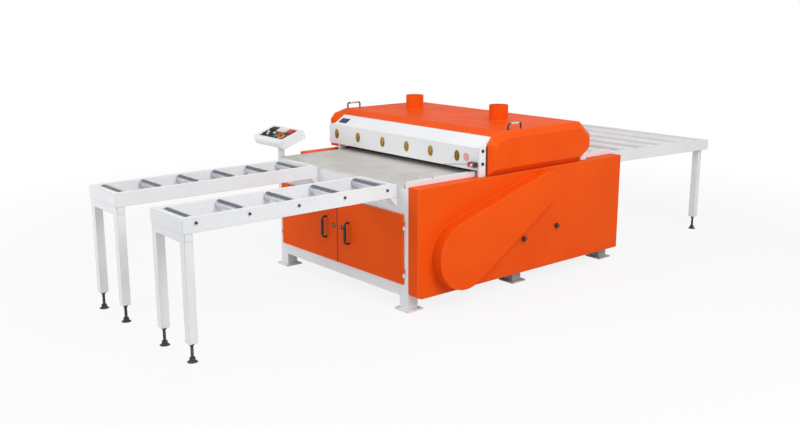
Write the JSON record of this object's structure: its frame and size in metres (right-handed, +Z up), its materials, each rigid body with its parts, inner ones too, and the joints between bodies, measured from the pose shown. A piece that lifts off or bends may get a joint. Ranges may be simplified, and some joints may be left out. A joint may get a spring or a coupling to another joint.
{
  "type": "multi rip saw",
  "caption": "Roller-fed multi-blade rip saw with orange covers and hood, white frame, belt guard, twin infeed roller tables, outfeed roller table and tilted control console.",
  "frame": {"origin": "centre of the bounding box at floor level", "axes": "+Y along the feed, from infeed to outfeed; +X to the operator's right, the belt guard side; +Z up"},
  "size_m": [1.8804, 4.8, 1.192],
  "materials": {
    "white_paint": "gloss enamel",
    "orange_paint": "gloss enamel",
    "grey_paint": "satin enamel",
    "table_steel": "ground",
    "roller_chrome": "polished",
    "turned_steel": "turned",
    "blade_steel": "ground",
    "dark_steel": "blackened",
    "cast_housing": "painted casting",
    "cast_pulley": "machined casting",
    "motor_paint": "painted casting",
    "belt_rubber": "matt",
    "black_plastic": "moulded",
    "red_plastic": "moulded",
    "green_plastic": "moulded",
    "lock_chrome": "polished"
  },
  "bodies": {
    "machine": {"base_legs": "white_paint", "base_rails": "white_paint", "work_table": "table_steel", "side_guide": "white_paint", "right_cover": "orange_paint", "belt_guard": "orange_paint", "left_cover": "orange_paint", "rear_panel": "orange_paint", "left_infeed_frame": "white_paint", "right_infeed_frame": "white_paint", "infeed_legs": "white_paint", "outfeed_frame": "white_paint", "outfeed_legs": "white_paint", "levelling_feet": "dark_steel", "roller_axles": "dark_steel", "door_hinges": "white_paint", "console_post": "white_paint", "console_box": "white_paint", "shaft_bearings": "cast_housing", "main_motor": "motor_paint", "drive_belts": "belt_rubber", "feed_drive": "cast_housing", "head_guides": "dark_steel"},
    "left_infeed_roller_1": {"left_infeed_roller_1": "roller_chrome"},
    "left_infeed_roller_2": {"left_infeed_roller_2": "roller_chrome"},
    "left_infeed_roller_3": {"left_infeed_roller_3": "roller_chrome"},
    "left_infeed_roller_4": {"left_infeed_roller_4": "roller_chrome"},
    "left_infeed_roller_5": {"left_infeed_roller_5": "roller_chrome"},
    "left_infeed_roller_6": {"left_infeed_roller_6": "roller_chrome"},
    "right_infeed_roller_1": {"right_infeed_roller_1": "roller_chrome"},
    "right_infeed_roller_2": {"right_infeed_roller_2": "roller_chrome"},
    "right_infeed_roller_3": {"right_infeed_roller_3": "roller_chrome"},
    "right_infeed_roller_4": {"right_infeed_roller_4": "roller_chrome"},
    "right_infeed_roller_5": {"right_infeed_roller_5": "roller_chrome"},
    "outfeed_roller_1": {"outfeed_roller_1": "grey_paint"},
    "outfeed_roller_2": {"outfeed_roller_2": "grey_paint"},
    "outfeed_roller_3": {"outfeed_roller_3": "grey_paint"},
    "outfeed_roller_4": {"outfeed_roller_4": "grey_paint"},
    "outfeed_roller_5": {"outfeed_roller_5": "grey_paint"},
    "press_head": {"press_beam": "white_paint", "head_arms": "white_paint", "head_frame": "white_paint", "limit_switch": "black_plastic"},
    "front_press_roller": {"front_press_roller": "turned_steel"},
    "rear_press_roller": {"rear_press_roller": "turned_steel"},
    "kickback_fingers": {"kickback_fingers": "dark_steel"},
    "hood": {"hood": "orange_paint", "hood_front": "orange_paint", "hood_rear": "orange_paint", "hood_ends": "orange_paint", "dust_ports": "orange_paint", "hood_handles": "black_plastic"},
    "front_feed_roller": {"front_feed_roller": "turned_steel"},
    "rear_feed_roller": {"rear_feed_roller": "turned_steel"},
    "saw_arbor": {"saw_arbor": "turned_steel", "saw_blades": "blade_steel"},
    "motor_pulley": {"motor_pulley": "cast_pulley"},
    "right_door": {"right_door": "orange_paint", "right_door_handle": "black_plastic"},
    "right_door_lock": {"right_door_lock": "lock_chrome"},
    "left_door": {"left_door": "orange_paint", "left_door_handle": "black_plastic"},
    "left_door_lock": {"left_door_lock": "lock_chrome"},
    "emergency_stop": {"emergency_stop": "red_plastic"},
    "start_button": {"start_button": "green_plastic"}
  },
  "joints": [
    {"name": "left_infeed_roller_1_spin", "type": "hinge", "parent": "machine", "child": "left_infeed_roller_1", "pos_m": [-0.38075, -2.322, 0.773], "axis": [1, 0, 0], "continuous": true},
    {"name": "left_infeed_roller_2_spin", "type": "hinge", "parent": "machine", "child": "left_infeed_roller_2", "pos_m": [-0.38075, -2.067, 0.773], "axis": [1, 0, 0], "continuous": true},
    {"name": "left_infeed_roller_3_spin", "type": "hinge", "parent": "machine", "child": "left_infeed_roller_3", "pos_m": [-0.38075, -1.812, 0.773], "axis": [1, 0, 0], "continuous": true},
    {"name": "left_infeed_roller_4_spin", "type": "hinge", "parent": "machine", "child": "left_infeed_roller_4", "pos_m": [-0.38075, -1.557, 0.773], "axis": [1, 0, 0], "continuous": true},
    {"name": "left_infeed_roller_5_spin", "type": "hinge", "parent": "machine", "child": "left_infeed_roller_5", "pos_m": [-0.38075, -1.302, 0.773], "axis": [1, 0, 0], "continuous": true},
    {"name": "left_infeed_roller_6_spin", "type": "hinge", "parent": "machine", "child": "left_infeed_roller_6", "pos_m": [-0.38075, -1.047, 0.773], "axis": [1, 0, 0], "continuous": true},
    {"name": "right_infeed_roller_1_spin", "type": "hinge", "parent": "machine", "child": "right_infeed_roller_1", "pos_m": [0.46525, -2.322, 0.773], "axis": [1, 0, 0], "continuous": true},
    {"name": "right_infeed_roller_2_spin", "type": "hinge", "parent": "machine", "child": "right_infeed_roller_2", "pos_m": [0.46525, -1.99625, 0.773], "axis": [1, 0, 0], "continuous": true},
    {"name": "right_infeed_roller_3_spin", "type": "hinge", "parent": "machine", "child": "right_infeed_roller_3", "pos_m": [0.46525, -1.6705, 0.773], "axis": [1, 0, 0], "continuous": true},
    {"name": "right_infeed_roller_4_spin", "type": "hinge", "parent": "machine", "child": "right_infeed_roller_4", "pos_m": [0.46525, -1.34475, 0.773], "axis": [1, 0, 0], "continuous": true},
    {"name": "right_infeed_roller_5_spin", "type": "hinge", "parent": "machine", "child": "right_infeed_roller_5", "pos_m": [0.46525, -1.019, 0.773], "axis": [1, 0, 0], "continuous": true},
    {"name": "outfeed_roller_1_spin", "type": "hinge", "parent": "machine", "child": "outfeed_roller_1", "pos_m": [0.04225, 1.175, 0.77004], "axis": [1, 0, 0], "continuous": true},
    {"name": "outfeed_roller_2_spin", "type": "hinge", "parent": "machine", "child": "outfeed_roller_2", "pos_m": [0.04225, 1.437, 0.76383], "axis": [1, 0, 0], "continuous": true},
    {"name": "outfeed_roller_3_spin", "type": "hinge", "parent": "machine", "child": "outfeed_roller_3", "pos_m": [0.04225, 1.699, 0.75762], "axis": [1, 0, 0], "continuous": true},
    {"name": "outfeed_roller_4_spin", "type": "hinge", "parent": "machine", "child": "outfeed_roller_4", "pos_m": [0.04225, 1.961, 0.75141], "axis": [1, 0, 0], "continuous": true},
    {"name": "outfeed_roller_5_spin", "type": "hinge", "parent": "machine", "child": "outfeed_roller_5", "pos_m": [0.04225, 2.223, 0.7452], "axis": [1, 0, 0], "continuous": true},
    {"name": "press_head_lift", "type": "slide", "parent": "machine", "child": "press_head", "axis": [0, 0, 1], "range_m": [0, 0.05]},
    {"name": "front_press_roller_spin", "type": "hinge", "parent": "press_head", "child": "front_press_roller", "pos_m": [0.04225, -0.15, 0.883], "axis": [1, 0, 0], "continuous": true},
    {"name": "rear_press_roller_spin", "type": "hinge", "parent": "press_head", "child": "rear_press_roller", "pos_m": [0.04225, 0.55, 0.883], "axis": [1, 0, 0], "continuous": true},
    {"name": "kickback_swing", "type": "hinge", "parent": "press_head", "child": "kickback_fingers", "pos_m": [0.04225, -0.285, 0.905], "axis": [1, 0, 0], "range_deg": [0, 45]},
    {"name": "hood_open", "type": "hinge", "parent": "press_head", "child": "hood", "pos_m": [-0.04512, 0.733, 0.872], "axis": [-1, 0, 0], "range_deg": [0, 70]},
    {"name": "front_feed_roller_spin", "type": "hinge", "parent": "machine", "child": "front_feed_roller", "pos_m": [0.04225, -0.15, 0.754], "axis": [1, 0, 0], "continuous": true},
    {"name": "rear_feed_roller_spin", "type": "hinge", "parent": "machine", "child": "rear_feed_roller", "pos_m": [0.04225, 0.55, 0.754], "axis": [1, 0, 0], "continuous": true},
    {"name": "saw_arbor_spin", "type": "hinge", "parent": "machine", "child": "saw_arbor", "pos_m": [0.04225, 0.171, 0.686], "axis": [1, 0, 0], "continuous": true},
    {"name": "motor_pulley_spin", "type": "hinge", "parent": "machine", "child": "motor_pulley", "pos_m": [0.89225, -0.605, 0.34], "axis": [1, 0, 0], "continuous": true},
    {"name": "right_door_swing", "type": "hinge", "parent": "machine", "child": "right_door", "pos_m": [0.72825, -0.9475, 0.395], "axis": [0, 0, 1], "range_deg": [0, 110]},
    {"name": "right_door_lock_turn", "type": "hinge", "parent": "right_door", "child": "right_door_lock", "pos_m": [0.08525, -0.9535, 0.42], "axis": [0, 1, 0], "range_deg": [0, 90]},
    {"name": "left_door_swing", "type": "hinge", "parent": "machine", "child": "left_door", "pos_m": [-0.64375, -0.9475, 0.395], "axis": [0, 0, -1], "range_deg": [0, 110]},
    {"name": "left_door_lock_turn", "type": "hinge", "parent": "left_door", "child": "left_door_lock", "pos_m": [-0.00075, -0.9535, 0.42], "axis": [0, -1, 0], "range_deg": [0, 90]},
    {"name": "emergency_stop_press", "type": "slide", "parent": "machine", "child": "emergency_stop", "axis": [0, -0.342, 0.9397], "range_m": [-0.006, 0], "stiffness_N_per_m": 900},
    {"name": "start_button_press", "type": "slide", "parent": "machine", "child": "start_button", "axis": [0, -0.342, 0.9397], "range_m": [-0.004, 0], "stiffness_N_per_m": 700}
  ],
  "couplings": [
    {"joint": "motor_pulley_spin", "follows": "saw_arbor_spin", "ratio": 0.43715}
  ]
}
